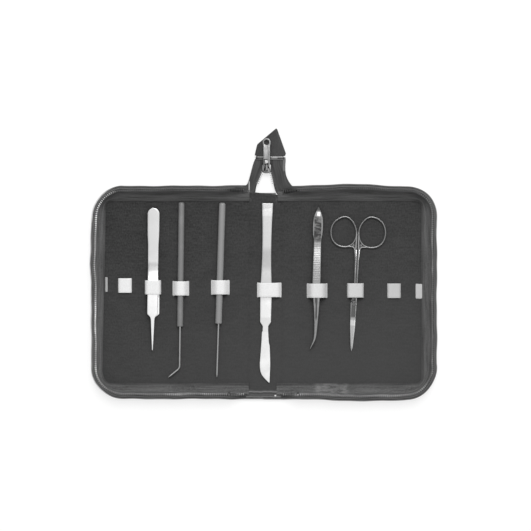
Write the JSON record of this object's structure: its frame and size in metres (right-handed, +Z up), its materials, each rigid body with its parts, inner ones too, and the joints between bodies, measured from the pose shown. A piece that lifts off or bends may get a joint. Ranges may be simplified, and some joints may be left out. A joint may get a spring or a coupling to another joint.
{
  "type": "surgical instrument case",
  "caption": "Zip-around case that lies open like a book, with elastic loops holding forceps, needles, a scalpel and scissors, and a zip tongue with slider and pull.",
  "frame": {"origin": "centre of the spine's underside, on the surface that the open case lies on", "axes": "+X across the two halves, +Y along the spine to the zip tongue, +Z up out of the open trays"},
  "size_m": [0.2906, 0.2267, 0.0142],
  "materials": {
    "leatherette": "fine pebble grain",
    "board": "raw board",
    "lining": "matte nylon",
    "zip_tape": "woven tape",
    "zip_metal": "bright",
    "elastic": "ribbed elastic webbing",
    "nickel": "nickel plated",
    "steel": "satin to polished stainless",
    "dark_handle": "satin",
    "grey_handle": "satin"
  },
  "bodies": {
    "right_half": {"right_cover": "leatherette", "right_board": "board", "right_lining": "lining", "right_piping": "leatherette", "right_gusset": "leatherette", "right_zip_tape": "zip_tape", "right_zip_teeth": "zip_metal", "right_top_stop": "zip_metal", "right_elastic": "elastic"},
    "spine": {"spine_cover": "leatherette", "spine_board": "board", "spine_lining": "lining", "spine_elastic": "elastic", "spine_gusset_bottom": "leatherette", "spine_gusset_top": "leatherette", "tongue_tape_left": "zip_tape", "tongue_tape_right": "zip_tape", "tongue_teeth_left": "zip_metal", "tongue_teeth_right": "zip_metal", "end_clamp": "nickel", "end_tab": "leatherette"},
    "left_half": {"left_cover": "leatherette", "left_board": "board", "left_lining": "lining", "left_piping": "leatherette", "left_gusset": "leatherette", "left_zip_tape": "zip_tape", "left_zip_teeth": "zip_metal", "left_top_stop": "zip_metal", "left_elastic": "elastic"},
    "zip_slider": {"slider_body": "nickel"},
    "pull": {"zip_pull": "nickel"},
    "forceps": {"forceps_lower_arm": "steel"},
    "forceps_spring_arm": {"forceps_upper_arm": "steel"},
    "bent_needle_tool": {"bent_needle_handle": "dark_handle", "bent_needle": "steel"},
    "straight_needle_tool": {"straight_needle_handle": "grey_handle", "straight_needle": "steel"},
    "scalpel_tool": {"scalpel": "steel"},
    "curved_forceps": {"curved_forceps_lower_arm": "steel"},
    "curved_forceps_spring_arm": {"curved_forceps_upper_arm": "steel"},
    "scissors": {"scissors_left": "steel", "scissors_screw": "steel"},
    "scissors_lever": {"scissors_right": "steel"}
  },
  "joints": [
    {"name": "spine_fold", "type": "hinge", "parent": "right_half", "child": "spine", "pos_m": [0.014, 0, 0.0006], "axis": [0, 1, 0], "range_deg": [0, 90]},
    {"name": "cover_fold", "type": "hinge", "parent": "spine", "child": "left_half", "pos_m": [-0.014, 0, 0.0006], "axis": [0, 1, 0], "range_deg": [0, 90]},
    {"name": "slider_travel", "type": "slide", "parent": "spine", "child": "zip_slider", "axis": [0, 1, 0], "range_m": [0, 0.0028]},
    {"name": "pull_flip", "type": "hinge", "parent": "zip_slider", "child": "pull", "pos_m": [0.0026, 0.106, 0.0062], "axis": [1, 0, 0], "range_deg": [0, 172]},
    {"name": "forceps_slide", "type": "slide", "parent": "left_half", "child": "forceps", "axis": [0.0087, 1, 0], "range_m": [-0.026, 0.005]},
    {"name": "forceps_squeeze", "type": "hinge", "parent": "forceps", "child": "forceps_spring_arm", "pos_m": [-0.09264, 0.0228, 0.00705], "axis": [1, -0.0087, 0], "range_deg": [0, 1.5], "stiffness_Nm_per_rad": 0.5, "deforming": ["left_elastic"]},
    {"name": "bent_needle_slide", "type": "slide", "parent": "left_half", "child": "bent_needle_tool", "axis": [0.0122, 0.9999, 0], "range_m": [-0.003, 0.0006]},
    {"name": "straight_needle_slide", "type": "slide", "parent": "left_half", "child": "straight_needle_tool", "axis": [0.0314, 0.9995, 0], "range_m": [-0.0035, 0.001]},
    {"name": "scalpel_slide", "type": "slide", "parent": "spine", "child": "scalpel_tool", "axis": [0.0175, 0.9998, 0], "range_m": [-0.007, 0.001]},
    {"name": "curved_forceps_slide", "type": "slide", "parent": "right_half", "child": "curved_forceps", "axis": [0.0297, 0.9996, 0], "range_m": [-0.026, 0.004]},
    {"name": "curved_forceps_squeeze", "type": "hinge", "parent": "curved_forceps", "child": "curved_forceps_spring_arm", "pos_m": [0.04532, 0.03958, 0.00705], "axis": [0.9996, -0.0297, 0], "range_deg": [0, 1.1], "stiffness_Nm_per_rad": 0.5, "deforming": ["right_elastic"]},
    {"name": "scissors_slide", "type": "slide", "parent": "right_half", "child": "scissors", "axis": [0.0454, 0.999, 0], "range_m": [-0.025, 0.011]},
    {"name": "scissors_open", "type": "hinge", "parent": "scissors", "child": "scissors_lever", "pos_m": [0.07577, -0.00995, 0.00515], "axis": [0, 0, -1], "range_deg": [0, 24], "deforming": ["right_elastic"]}
  ]
}
